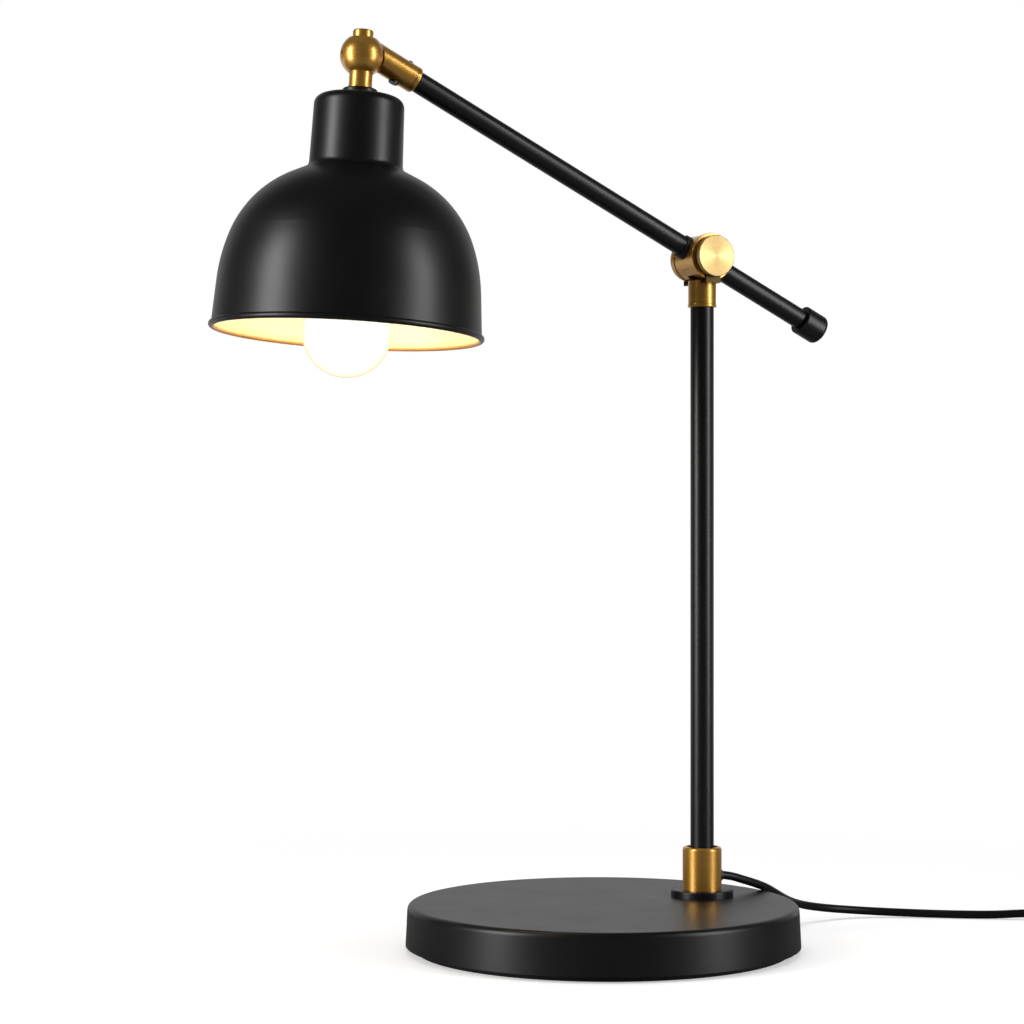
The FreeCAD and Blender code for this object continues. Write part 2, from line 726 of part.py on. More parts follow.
def shade_profile(inset):
    """Outer (inset 0) or inner line of the shade from its rim to its axis."""
    edges, lean = shade_side(inset)
    shoulder = edges[-1].valueAt(edges[-1].LastParameter)
    wall_top = down(collar_top_radius - inset, shade_top + collar_edge_radius)
    wall_low = down(collar_low_radius - inset, collar_low)
    fillet = collar_fillet_radius + inset
    # straight from the dome's shoulder towards the collar, joined to it by the fillet
    heading = Vector(-math.sin(lean), 0, math.cos(lean))
    wall = (wall_top - wall_low).normalize()
    meeting = meet(shoulder, heading, wall_low, wall)
    half = (math.pi - math.acos(max(-1, min(1, heading.dot(wall))))) / 2
    reach = fillet / math.tan(half)
    first = meeting - heading * reach
    last = meeting + wall * reach
    bisector = (wall - heading).normalize()
    middle = meeting + bisector * (fillet / math.sin(half) - fillet)
    edges.append(line(shoulder, first))
    edges.append(arc(first, middle, last))
    edges.append(line(last, wall_top))
    edge = collar_edge_radius - inset
    centre = down(collar_top_radius - collar_edge_radius, shade_top + collar_edge_radius)
    corner = centre + Vector(math.sqrt(0.5), 0, math.sqrt(0.5)) * edge
    edges.append(arc(wall_top, corner, centre + Z * edge))
    edges.append(line(centre + Z * edge, down(0, shade_top + inset)))
    return edges


def meet(point_a, way_a, point_b, way_b):
    """Where two lines in the XZ plane cross."""
    gap = point_b - point_a
    across = way_a.x * way_b.z - way_a.z * way_b.x
    along = (gap.x * way_b.z - gap.z * way_b.x) / across
    return point_a + way_a * along


def make_knuckle():
    half = knuckle_half_height
    shoulder = math.sqrt(knuckle_radius ** 2 - half ** 2)
    body = spin([
        line(Vector(0, 0, -half), Vector(shoulder, 0, -half)),
        arc(Vector(shoulder, 0, -half), Vector(knuckle_radius, 0, 0), Vector(shoulder, 0, half)),
        line(Vector(shoulder, 0, half), Vector(0, 0, half)),
        line(Vector(0, 0, half), Vector(0, 0, -half)),
    ])
    body = rounded(body, knuckle_top_edge, lambda edge: edge_at(edge, Z * half, Z))
    body = rounded(body, knuckle_low_edge, lambda edge: edge_at(edge, Z * -half, Z))
    outside = body.copy()

    gap = tongue_half_height + soft_clearance
    slot_half = tongue_thickness / 2 + knuckle_slot_clearance
    low_way = math.radians(arm_angle_in_head - tilt_towards_pole)
    high_way = math.radians(arm_angle_in_head + tilt_outwards)
    reach = knuckle_radius * 2

    def beside(angle, along, across):
        return Vector(along * math.cos(angle) - across * math.sin(angle), -slot_half,
                      along * math.sin(angle) + across * math.cos(angle))

    corners = [beside(low_way, 0, -gap), beside(low_way, reach, -gap),
               beside(high_way, reach, gap), beside(high_way, 0, gap)]
    wedge = Part.Face(Part.Wire(outline(corners))).extrude(Y * slot_half * 2)
    pocket = rod(tongue_eye_radius + soft_clearance, Y * -slot_half, Y * slot_half)
    body = body.cut(wedge).cut(pocket)

    low_end = down(0, half + past)
    body = body.cut(rod(neck_recess_radius, down(0, half - neck_recess_depth), low_end))
    body = body.cut(rod(nipple_radius, down(0, tongue_eye_radius), low_end))
    button_stem = rod(button_stem_radius, Z * (half - button_stem_length), Z * (half + past))
    pin_line = rod(knuckle_pin_radius, Y * -through, Y * through)
    screw_end = X * -(tongue_eye_radius + knuckle_screw_seat)
    screw_hole = rod(knuckle_screw_radius, screw_end, X * -through)
    write("knuckle_barrel", to_head(body.cut(button_stem).cut(pin_line).cut(screw_hole)))
    write("knuckle_pin", to_head(pin_line.common(outside)))
    screw = rod(knuckle_screw_radius, screw_end, X * -(knuckle_radius - knuckle_screw_sink))
    write("knuckle_screw", to_head(screw))

    button = rod(button_radius, Z * half, Z * (half + button_height))
    button = rounded(button, button_edge_radius, lambda edge: edge_at(edge, Z * (half + button_height), Z))
    write("top_button", to_head(button.fuse(button_stem).removeSplitter()))


def make_neck():
    top = knuckle_half_height - neck_recess_depth
    flare_top = washer_top - neck_flare_height
    neck = spin(outline([
        down(nipple_radius, top),
        down(neck_radius, top),
        down(neck_radius, flare_top),
        down(neck_radius + neck_flare, washer_top),
        down(nipple_radius, washer_top),
    ]))
    write("shade_neck", to_head(neck))
    washer = ring(washer_radius, nipple_radius, -shade_top, -washer_top)
    washer = rounded(washer, washer_edge_radius, lambda edge: edge_at(edge, down(0, washer_top), Z)
                     and edge.Curve.Radius > neck_radius)
    write("shade_washer", to_head(washer))
    # the nipple ends clear of the tongue at the steepest tilt
    steepest = math.radians(tilt_towards_pole - arm_angle_in_head)
    nipple_top = nipple_radius * math.tan(steepest) + tongue_half_height / math.cos(steepest) + soft_clearance
    nipple_low = holder_top + holder_thread_depth
    write("shade_nipple", to_head(ring(nipple_radius, nipple_bore_radius, -nipple_low, -nipple_top)))
    nut_top = shade_top + shade_wall
    nut = hexagon(nut_radius, -(nut_top + nut_height), -nut_top)
    write("shade_nut", to_head(nut.cut(rod(nipple_radius, ORIGIN, down(0, holder_top)))))
    flex_top = tongue_eye_radius + soft_clearance
    flex = rod(cord_radius, down(0, flex_top), down(0, holder_floor - flex_end_room))
    write("head_flex", to_head(flex))


def make_shade():
    outer = shade_profile(0)
    inner = shade_profile(shade_wall)
    rim_out = down(rim_wall_radius, rim_level)
    start_inner = inner[0].valueAt(inner[0].FirstParameter)
    end_outer = down(0, shade_top)
    end_inner = down(0, shade_top + shade_wall)
    section = outer + [line(end_outer, end_inner)] + inner + [line(start_inner, rim_out)]
    body = Part.Face(Part.Wire(Part.__sortEdges__(section))).revolve(ORIGIN, Z, 360)
    bead_centre = down(rim_wall_radius - rim_bead_inset, rim_level)
    bead_circle = Part.Wire(Part.Circle(bead_centre, Y, rim_bead_radius).toShape())
    bead = Part.Face(bead_circle).revolve(ORIGIN, Z, 360)
    shade = body.fuse(bead).cut(rod(nipple_radius, ORIGIN, down(0, holder_top)))
    write("shade", to_head(shade.removeSplitter()))


def make_lampholder():
    floor = holder_floor
    inner = holder_radius - holder_wall
    flex_hole = cord_radius + soft_clearance
    thread_end = holder_top + holder_thread_depth
    body = spin(outline([
        down(nipple_radius, holder_top),
        down(holder_boss_radius, holder_top),
        down(holder_boss_radius + holder_boss_flare, holder_top + holder_boss_height),
        down(holder_radius, holder_shoulder),
        down(holder_radius, holder_mouth),
        down(inner, holder_mouth),
        down(inner, floor),
        down(flex_hole, floor),
        down(flex_hole, thread_end),
        down(nipple_radius, thread_end),
    ]))
    write("lampholder_body", to_head(body))
    shell_low = holder_mouth - shell_inset
    shell_top = shell_low - shell_length
    shell_bore = shell_radius - shell_wall
    shell = ring(shell_radius, shell_bore, -shell_low, -shell_top)
    seat = ring(inner, shell_bore, -shell_top, -floor)
    write("lampholder_shell", to_head(shell.fuse(seat).removeSplitter()))
    contact = rod(contact_radius, down(0, floor), down(0, floor + contact_height))
    write("lampholder_contact", to_head(contact))

    cap_top = floor + contact_height
    cap_low = cap_top + bulb_cap_length
    cap = spin(outline([
        down(0, cap_top),
        down(contact_radius, cap_top),
        down(bulb_cap_radius, cap_top + bulb_cap_taper),
        down(bulb_cap_radius, cap_low),
        down(0, cap_low),
    ]))
    write("bulb_cap", to_head(cap))
    write("bulb_globe", to_head(bulb_glass(cap_low)))


def bulb_glass(cap_low):
    """A round glass with a short neck, hollow."""
    def half_section(shrink):
        radius = bulb_radius - shrink
        neck = bulb_neck_radius - shrink
        start = bulb_cap_radius - bulb_cap_lap - shrink
        centre = cap_low + bulb_reach
        join = centre - math.sqrt(radius ** 2 - neck ** 2)
        top = cap_low + shrink
        return [
            line(down(0, top), down(start, top)),
            line(down(start, top), down(neck, cap_low + bulb_neck_taper)),
            line(down(neck, cap_low + bulb_neck_taper), down(neck, join)),
            arc(down(neck, join), down(radius, centre), down(0, centre + radius)),
            line(down(0, centre + radius), down(0, top)),
        ]
    return spin(half_section(0)).cut(spin(half_section(bulb_wall)))


# ---- Supply cord ----------------------------------------------------------------------------------

corner_share = 0.45         # of the shorter run, taken by each corner's arc


def rounded_path(points):
    """Straight runs joined by tangent arcs; prints each arc's radius."""
    edges = []
    start = points[0]
    radii = []
    for before, corner, after in zip(points, points[1:], points[2:]):
        way_in = (corner - before).normalize()
        way_out = (after - corner).normalize()
        turn = way_in.getAngle(way_out)
        shorter = min((corner - before).Length, (after - corner).Length)
        reach = corner_share * shorter
        radius = reach / math.tan(turn / 2)
        first = corner - way_in * reach
        last = corner + way_out * reach
        inwards = (way_out - way_in).normalize()
        middle = corner + inwards * (radius / math.cos(turn / 2) - radius)
        edges.append(line(start, first))
        edges.append(arc(first, middle, last))
        start = last
        radii.append(round(radius, 1))
    edges.append(line(start, points[-1]))
    print("arc radii", radii)
    return Part.Wire(edges)


def biarc(start, way_in, end, way_out):
    """Two tangent arcs from one point and direction to the next."""
    chord = end - start
    ways = way_in + way_out
    spread = 2 * (1 - way_in.dot(way_out))
    if spread < 1e-9:
        reach = chord.dot(chord) / (4 * chord.dot(way_out))
    else:
        reach = (-chord.dot(ways) + math.sqrt(chord.dot(ways) ** 2 + spread * chord.dot(chord))) / spread
    joint = (start + end + (way_in - way_out) * reach) * 0.5
    return [tangent_arc(start, way_in, joint), tangent_arc(end, way_out * -1, joint, True)]


def tangent_arc(point, way, end, backwards=False):
    """The arc that leaves a point in a direction and ends at another point."""
    chord = end - point
    flat = Vector(chord).normalize()
    side = way - flat * way.dot(flat)
    if side.Length < 1e-6:
        return line(end, point) if backwards else line(point, end)
    angle = way.getAngle(chord)
    middle = point + chord * 0.5 + side.normalize() * (chord.Length / 2 * math.tan(angle / 2))
    return arc(end, middle, point) if backwards else arc(point, middle, end)


# ---- Route of the cord; the points are chosen by hand ---------------------------------------------

coil_level = tie_thickness + soft_clearance + cord_radius

free_route = [
    Vector(cord_exit_x, 0, cord_exit_height),
    Vector(83.0, 0.0, cord_exit_height),
    Vector(94.0, 0.6, 33.4),
    Vector(107.5, 3.0, 30.2),
    Vector(121.0, 9.5, 22.0),
    Vector(136.5, 20.0, 12.6),
    Vector(155.0, 29.0, 7.2),
    Vector(176.0, 30.5, 4.4),
    Vector(196.0, 24.0, 3.0),
    Vector(215.5, 13.5, 2.4),
    Vector(234.0, 0.5, 2.4),
    Vector(250.5, -11.0, 2.6),
    Vector(263.5, -19.4, coil_level),
    Vector(273.0, -25.0, coil_level),
]
switch_start = free_route[-1]
switch_way = (free_route[-1] - free_route[-2]).normalize()
switch_turn = Rotation(Z, math.degrees(math.atan2(switch_way.y, switch_way.x)))
switch_end = switch_start + switch_way * switch_length
coil_steps = 8              # biarcs in a layer of the coil
coil_step = coil_turns_per_layer / coil_steps
lead_route = [              # from the coil's end, in row axes
    Vector(0.0, 0.0, 0.0),
    Vector(-4.61, -8.8747, 0.0),
    Vector(-11.6, -18.1, -2.2),
    Vector(-21.6, -25.6, -6.3),
    Vector(-34.0, -29.8, -10.2),
    Vector(-45.5, -31.2, -12.35),
    Vector(-55.0, -31.2, -12.35),
]


def coil_local(turn):
    """A point of the coil's centre line about its own centre, starting at angle 0."""
    per_layer = coil_turns_per_layer
    outer = coil_middle_radius + coil_pitch * per_layer / 2
    layer = min(int(turn / per_layer + 1e-9), coil_layers - 1)
    along = turn - layer * per_layer
    inwards = layer % 2 == 0
    radius = outer - coil_pitch * (along if inwards else per_layer - along)
    height = 0.0
    for k in range(1, coil_layers):
        share = (turn - k * per_layer) / (2 * coil_step) + 0.5
        share = max(0.0, min(1.0, share))
        height += coil_pitch * share * share * (3 - 2 * share)
    angle = -2 * math.pi * turn
    return Vector(radius * math.cos(angle), radius * math.sin(angle), height)


def coil_way(turn):
    """Direction of the coil's centre line."""
    tiny = 1e-4
    return (coil_local(turn + tiny) - coil_local(turn - tiny)).normalize()


def coil_path():
    """The whole coil as one wire: run in, layers, run out."""
    first_way = coil_way(0.0)
    first_way.z = 0
    heading = math.atan2(switch_way.y, switch_way.x) - math.atan2(first_way.y, first_way.x)
    spin_to = Rotation(Z, math.degrees(heading))
    start = switch_end + switch_way * coil_run_in
    centre = start - spin_to.multVec(coil_local(0.0))
    count = coil_layers * coil_steps
    edges = [line(switch_end, start)]
    for k in range(count):
        turn_a = k * coil_step
        turn_b = (k + 1) * coil_step
        a = centre + spin_to.multVec(coil_local(turn_a))
        b = centre + spin_to.multVec(coil_local(turn_b))
        way_a = spin_to.multVec(coil_way(turn_a))
        way_b = spin_to.multVec(coil_way(turn_b))
        if k == 0:
            way_a = switch_way
        if k == count - 1:
            way_b = Vector(way_b.x, way_b.y, 0).normalize()
        edges.extend(biarc(a, way_a, b, way_b))
    run_out = b + way_b * coil_run_out
    edges.append(line(b, run_out))
    return Part.Wire(edges), centre, run_out


def print_length(name, wire, solid):
    """Compare a tube's volume with its section times its length."""
    expected = wire.Length * math.pi * cord_radius ** 2
    print(f"{name}: length {wire.Length:.1f}, volume over section times length {solid.Volume / expected:.5f}")


def print_least_gap(wire):
    """Least distance of the coil's tube to itself, on points along its line."""
    points = wire.discretize(Distance=cord_radius / 1.5)
    spacing = wire.Length / (len(points) - 1)
    skip = int(math.pi * cord_radius * 4 / spacing)
    least = min((points[i] - points[j]).Length
                for i in range(len(points)) for j in range(i + skip, len(points)))
    print(f"coil: least gap to itself {least - 2 * cord_radius:.2f}")


def make_pole_flex():
    bend = pole_radius - pole_wall - loose_fit
    start = Vector(cord_exit_x, 0, cord_exit_height)
    foot = Vector(pole_offset + bend, 0, cord_exit_height)
    top = Vector(pole_offset, 0, stem_top)
    rise = Vector(pole_offset, 0, cord_exit_height + bend)
    short = bend * (1 - math.sqrt(0.5))
    corner = Vector(pole_offset + short, 0, cord_exit_height + short)
    path = Part.Wire([line(start, foot), arc(foot, corner, rise), line(rise, top)])
    write("pole_flex", sweep(path, cord_radius))


def make_cord():
    free_path = rounded_path(free_route)
    tube = sweep(free_path, cord_radius)
    print_length("free cord", free_path, tube)
    write("cord_tube", tube)

    coil_wire, centre, coil_end = coil_path()
    coil = sweep(coil_wire, cord_radius)
    print_length("coil", coil_wire, coil)
    print_least_gap(coil_wire)
    write("cord_coil", coil)
    print("coil centre", centre, "end", coil_end)

    lead_points = [coil_end + step for step in lead_route]
    for point in lead_points[-2:]:
        point.z = plug_height / 2
    lead_path = rounded_path(lead_points)
    lead = sweep(lead_path, cord_radius)
    print_length("plug lead", lead_path, lead)
    write("plug_lead", lead)
    total = free_path.Length + coil_wire.Length + lead_path.Length + switch_length
    print(f"whole cord {total:.0f}")
    make_plug(lead_points[-1], X * -1)
    make_tie(centre)


def in_frame(shape, point, way):
    """Put a shape built along +X at a point, heading along a level direction."""
    moved = shape.copy()
    turn = Rotation(Z, math.degrees(math.atan2(way.y, way.x)))
    moved.Placement = FreeCAD.Placement(point, turn)
    return moved


def upright(edge):
    return abs(edge.tangentAt(edge.FirstParameter).z) > 0.99


def crosswise(edge):
    return abs(edge.tangentAt(edge.FirstParameter).y) > 0.99


def make_switch():
    half_width = switch_width / 2
    end_half = switch_end_width / 2
    far_taper = switch_length - switch_taper
    plan = [
        Vector(0, -end_half, 0), Vector(switch_taper, -half_width, 0), Vector(far_taper, -half_width, 0),
        Vector(switch_length, -end_half, 0), Vector(switch_length, end_half, 0),
        Vector(far_taper, half_width, 0), Vector(switch_taper, half_width, 0), Vector(0, end_half, 0),
    ]
    body = Part.Face(Part.Wire(outline(plan))).extrude(Z * switch_height)
    side = [
        Vector(0, -half_width, 0), Vector(switch_length, -half_width, 0),
        Vector(switch_length, -half_width, switch_end_height), Vector(far_taper, -half_width, switch_height),
        Vector(switch_taper, -half_width, switch_height), Vector(0, -half_width, switch_end_height),
    ]
    body = body.common(Part.Face(Part.Wire(outline(side))).extrude(Y * switch_width))
    body = rounded(body, switch_edge_radius, lambda edge: edge.BoundBox.ZMin > switch_edge_radius)
    axis = Vector(switch_length / 2, 0, switch_height - rocker_axis_depth)
    pocket_x = math.hypot(rocker_half_length, rocker_end_height) + soft_clearance
    pocket_y = rocker_width / 2 + loose_fit
    pocket = block(axis + Vector(-pocket_x, -pocket_y, -rocker_depth - rocker_floor_gap),
                   axis + Vector(pocket_x, pocket_y, through))
    pivot_half = rocker_width / 2 + rocker_pivot_reach
    hole_half = pivot_half + rocker_pivot_gap
    pivot_hole = rod(rocker_pivot_radius + shaft_clearance, axis - Y * hole_half, axis + Y * hole_half)
    level = Vector(switch_start.x, switch_start.y, 0)
    write("inline_switch", in_frame(body.cut(pocket).cut(pivot_hole), level, switch_way))

    end_top = Vector(rocker_half_length, 0, rocker_end_height)
    end_low = Vector(rocker_half_length - rocker_end_lean, 0, -rocker_end_lean)
    start_top = Vector(-end_top.x, 0, end_top.z)
    start_low = Vector(-end_low.x, 0, end_low.z)
    hollow = Z * rocker_middle_height
    profile = [
        line(start_top, hollow),
        line(hollow, end_top),
        line(end_top, end_low),
        arc(end_low, Z * -rocker_depth, start_low),
        line(start_low, start_top),
    ]
    rocker = Part.Face(Part.Wire(profile)).extrude(Y * rocker_width)
    rocker.translate(Y * -rocker_width / 2)
    rocker = rocker.fuse(rod(rocker_pivot_radius, Y * -pivot_half, Y * pivot_half)).removeSplitter()
    rocker = Part.makeCompound([place(rocker, rocker_rest_tilt, axis)])
    write("switch_rocker", in_frame(rocker, level, switch_way))
    print("rocker axis at", level + switch_turn.multVec(axis), "direction", switch_turn.multVec(Y))


def make_plug(point, way):
    half = plug_width / 2
    rear_half = plug_rear_width / 2
    neck_half = rear_half + plug_neck_flare
    shoulder_half = half - plug_shoulder_inset
    tail = plug_tail_length
    front = tail + plug_length
    neck = tail + plug_neck_length
    shoulder = tail + plug_shoulder
    plan = [
        Vector(tail, -rear_half, 0), Vector(neck, -neck_half, 0), Vector(shoulder, -shoulder_half, 0),
        Vector(front, -half, 0), Vector(front, half, 0), Vector(shoulder, shoulder_half, 0),
        Vector(neck, neck_half, 0), Vector(tail, rear_half, 0),
    ]
    body = Part.Face(Part.Wire(outline(plan))).extrude(Z * plug_height)
    body = rounded(body, plug_corner_radius, upright)
    body = rounded(body, plug_edge_radius, lambda edge: edge.BoundBox.ZMin > plug_height - past)
    middle = Z * (plug_height / 2)
    relief = Part.makeCone(cord_radius + plug_tail_wall, plug_tail_radius, tail, middle, X)
    level = Vector(point.x, point.y, 0)
    write("plug", in_frame(body.fuse(relief).removeSplitter(), level, way))
    pins = []
    for side in (-1, 1):
        start = middle + X * front + Y * side * plug_pin_spacing / 2
        pin = rod(plug_pin_radius, start, start + X * plug_pin_length)
        pin = rounded(pin, plug_pin_edge_radius, lambda edge: edge_at(edge, X * (front + plug_pin_length), X))
        pins.append(pin)
    write("plug_pins", in_frame(Part.makeCompound(pins), level, way))
    turn = Rotation(Z, math.degrees(math.atan2(way.y, way.x)))
    print("plug pins centre", level + turn.multVec(middle + X * (front + plug_pin_length / 2)), "way", way)


def make_tie(centre):
    spread = coil_pitch * coil_turns_per_layer / 2
    inner = coil_middle_radius - spread - cord_radius - soft_clearance - tie_slack
    outer = coil_middle_radius + spread + cord_radius + soft_clearance
    high = coil_level + coil_pitch * (coil_layers - 1) + cord_radius + soft_clearance
    half = tie_width / 2
    wall = tie_thickness
    space = block(Vector(inner, -half, wall), Vector(outer, half, high))
    space = rounded(space, tie_corner_radius, crosswise)
    band = block(Vector(inner - wall, -half, 0), Vector(outer + wall, half, high + wall))
    band = rounded(band, tie_corner_radius + wall, crosswise)
    write("coil_tie", in_frame(band.cut(space), Vector(centre.x, centre.y, 0), switch_way * -1))


make_base()
make_pole_foot()
make_pole_flex()
make_swivel()
make_clamp()
make_arm()
make_knuckle()
make_neck()
make_shade()
make_lampholder()
make_switch()
make_cord()
print("knuckle at", knuckle_point)
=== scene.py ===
import json
import math

import bmesh
import bpy
from mathutils import Matrix, Vector


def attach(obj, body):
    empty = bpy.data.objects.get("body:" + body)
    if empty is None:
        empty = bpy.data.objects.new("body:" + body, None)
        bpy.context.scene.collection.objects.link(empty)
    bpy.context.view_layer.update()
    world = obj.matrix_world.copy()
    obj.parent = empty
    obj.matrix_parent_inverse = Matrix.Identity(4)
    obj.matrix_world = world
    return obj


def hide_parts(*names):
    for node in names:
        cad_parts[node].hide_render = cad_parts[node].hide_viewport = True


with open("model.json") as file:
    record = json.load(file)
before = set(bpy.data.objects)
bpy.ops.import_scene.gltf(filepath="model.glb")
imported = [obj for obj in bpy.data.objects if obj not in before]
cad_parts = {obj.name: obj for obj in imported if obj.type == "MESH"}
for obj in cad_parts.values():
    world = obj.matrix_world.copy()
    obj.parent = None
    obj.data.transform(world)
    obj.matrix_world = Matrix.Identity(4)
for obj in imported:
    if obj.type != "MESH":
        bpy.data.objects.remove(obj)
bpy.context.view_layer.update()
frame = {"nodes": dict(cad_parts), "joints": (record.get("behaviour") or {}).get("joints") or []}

nodes = frame["nodes"]


# ---- Camera ----------------------------------------------------------------------------------
# One long lens, level with the lower part of the lamp and turned 27 degrees to the arm's plane.
# The horizon lies a little under the middle of the picture.

view_turn = math.radians(27.0)

camera_data = bpy.data.cameras.new("camera")
camera_data.sensor_width = 36.0
camera_data.lens = 86.66
camera_data.shift_y = 0.0322
camera_data.clip_start = 0.05
camera = bpy.data.objects.new("camera", camera_data)
camera.location = (-0.6377, -1.1452, 0.2147)
camera.rotation_euler = (math.radians(90), 0, -view_turn)
bpy.context.scene.collection.objects.link(camera)
bpy.context.scene.camera = camera


# ---- Supply cord: its way ---------------------------------------------------------------------
# A round black two-core flex, 4.6 mm thick. It leaves the bush at the pole's foot, drops over the
# back of the base, and its spare length is wound up beside the in-line switch, past the view's edge.

cord_radius = 0.0023
tie_thickness = 0.0011
coil_level = tie_thickness + 0.0003 + cord_radius
switch_length = 0.052
plug_height = 0.0136

free_route = [
    (0.07335, 0.0, 0.035),
    (0.0795, 0.0, 0.0342),
    (0.0870, 0.0005, 0.0318),
    (0.0955, 0.0018, 0.0292),
    (0.1035, 0.0037, 0.0264),
    (0.1110, 0.0064, 0.0230),
    (0.1200, 0.0114, 0.0187),
    (0.1315, 0.0192, 0.0142),
    (0.1460, 0.0266, 0.0100),
    (0.1635, 0.0303, 0.0068),
    (0.1800, 0.0295, 0.0048),
    (0.1960, 0.0240, 0.0035),
    (0.2155, 0.0135, 0.0026),
    (0.234, 0.0005, 0.0024),
    (0.2505, -0.011, 0.0026),
    (0.2635, -0.0194, coil_level),
    (0.273, -0.025, coil_level),
]
lead_route = [              # from the coil's end to the plug, in row axes
    (-0.00461, -0.0088747, 0.0),
    (-0.0116, -0.0181, -0.0022),
    (-0.0216, -0.0256, -0.0063),
    (-0.034, -0.0298, -0.0102),
    (-0.0455, -0.0312, -0.01235),
    (-0.055, -0.0312, -0.01235),
]

coil_middle_radius = 0.0253
coil_pitch = 0.00515
coil_layers = 4
turns_per_layer = 2.0625
coil_run_in = 0.024
coil_run_out = 0.005
points_per_turn = 24


def coil_point(turn):
    """A point of the coil's line about its own centre; it spirals in, up a layer and out again."""
    layer = min(int(turn / turns_per_layer + 1e-9), coil_layers - 1)
    along = turn - layer * turns_per_layer
    share = along if layer % 2 == 0 else turns_per_layer - along
    radius = coil_middle_radius + coil_pitch * (turns_per_layer / 2 - share)
    height = 0.0
    climb = turns_per_layer / 4
    for k in range(1, coil_layers):
        rise = max(0.0, min(1.0, (turn - k * turns_per_layer) / climb + 0.5))
        height += coil_pitch * rise * rise * (3 - 2 * rise)
    # the smooth line passes a little inside its points, so these lie that much further out
    radius /= math.cos(math.pi / points_per_turn)
    angle = -2 * math.pi * turn
    return Vector((radius * math.cos(angle), radius * math.sin(angle), height))


switch_start = Vector(free_route[-1])
switch_way = (switch_start - Vector(free_route[-2])).normalized()
switch_end = switch_start + switch_way * switch_length
coil_start = switch_end + switch_way * coil_run_in

outer_radius = coil_middle_radius + coil_pitch * turns_per_layer / 2
first_heading = math.atan2(-2 * math.pi * outer_radius, -coil_pitch)
coil_turn = Matrix.Rotation(math.atan2(switch_way.y, switch_way.x) - first_heading, 3, "Z")
coil_centre = coil_start - coil_turn @ Vector((outer_radius, 0, 0))

route = [Vector(point) for point in free_route]
route.append(switch_end)
turn_count = coil_layers * turns_per_layer
for k in range(round(turn_count * points_per_turn) + 1):
    route.append(coil_centre + coil_turn @ coil_point(k / points_per_turn))
last_way = route[-1] - route[-2]
last_way.z = 0
coil_end = route[-1] + last_way.normalized() * coil_run_out
route.append(coil_end)
for step in lead_route:
    route.append(coil_end + Vector(step))
for point in route[-2:]:
    point.z = plug_height / 2

cord_curve = bpy.data.curves.new("supply_cord", "CURVE")
cord_curve.dimensions = "3D"
cord_curve.bevel_depth = cord_radius
cord_curve.bevel_resolution = 5
cord_curve.resolution_u = 5
cord_curve.use_fill_caps = True
cord_line = cord_curve.splines.new("NURBS")
cord_line.points.add(len(route) - 1)
for point, place in zip(cord_line.points, route):
    point.co = (*place, 1)
cord_line.order_u = 3
cord_line.use_endpoint_u = True
supply_cord = bpy.data.objects.new("supply_cord", cord_curve)
bpy.context.scene.collection.objects.link(supply_cord)


# ---- Fine grain and turning marks ----------------------------------------------------------------
# The black pieces are powder coated, with a grain finer than a tenth of a millimetre.
# The brass pieces are turned, and keep fine rings round their own axes.


def new_socket(group, name, kind, way, value=None):
    """Add an input or an output to a node group."""
    socket = group.interface.new_socket(name=name, in_out=way, socket_type=kind)
    if value is not None:
        socket.default_value = value


def grain_group():
    """Roughness and normal of a fine, even grain with soft larger patches."""
    group = bpy.data.node_groups.new("fine_grain", "ShaderNodeTree")
    new_socket(group, "Vector", "NodeSocketVector", "INPUT")
    new_socket(group, "Grain", "NodeSocketFloat", "INPUT", 2600.0)
    new_socket(group, "Depth", "NodeSocketFloat", "INPUT", 0.15)
    new_socket(group, "Rough Low", "NodeSocketFloat", "INPUT", 0.3)
    new_socket(group, "Rough High", "NodeSocketFloat", "INPUT", 0.4)
    new_socket(group, "Roughness", "NodeSocketFloat", "OUTPUT")
    new_socket(group, "Patches", "NodeSocketFloat", "OUTPUT")
    new_socket(group, "Normal", "NodeSocketVector", "OUTPUT")
    tree = group.nodes
    link = group.links.new
    inputs = tree.new("NodeGroupInput")
    outputs = tree.new("NodeGroupOutput")
    fine = tree.new("ShaderNodeTexNoise")
    fine.inputs["Detail"].default_value = 2.0
    link(inputs.outputs["Vector"], fine.inputs["Vector"])
    link(inputs.outputs["Grain"], fine.inputs["Scale"])
    patches = tree.new("ShaderNodeTexNoise")
    patches.inputs["Scale"].default_value = 38.0
    patches.inputs["Detail"].default_value = 4.0
    link(inputs.outputs["Vector"], patches.inputs["Vector"])
    spread = tree.new("ShaderNodeMapRange")
    spread.inputs["From Min"].default_value = 0.3
    spread.inputs["From Max"].default_value = 0.7
    link(patches.outputs["Fac"], spread.inputs["Value"])
    link(inputs.outputs["Rough Low"], spread.inputs["To Min"])
    link(inputs.outputs["Rough High"], spread.inputs["To Max"])
    bump = tree.new("ShaderNodeBump")
    bump.inputs["Distance"].default_value = 0.00008
    link(inputs.outputs["Depth"], bump.inputs["Strength"])
    link(fine.outputs["Fac"], bump.inputs["Height"])
    link(spread.outputs["Result"], outputs.inputs["Roughness"])
    link(patches.outputs["Fac"], outputs.inputs["Patches"])
    link(bump.outputs["Normal"], outputs.inputs["Normal"])
    return group


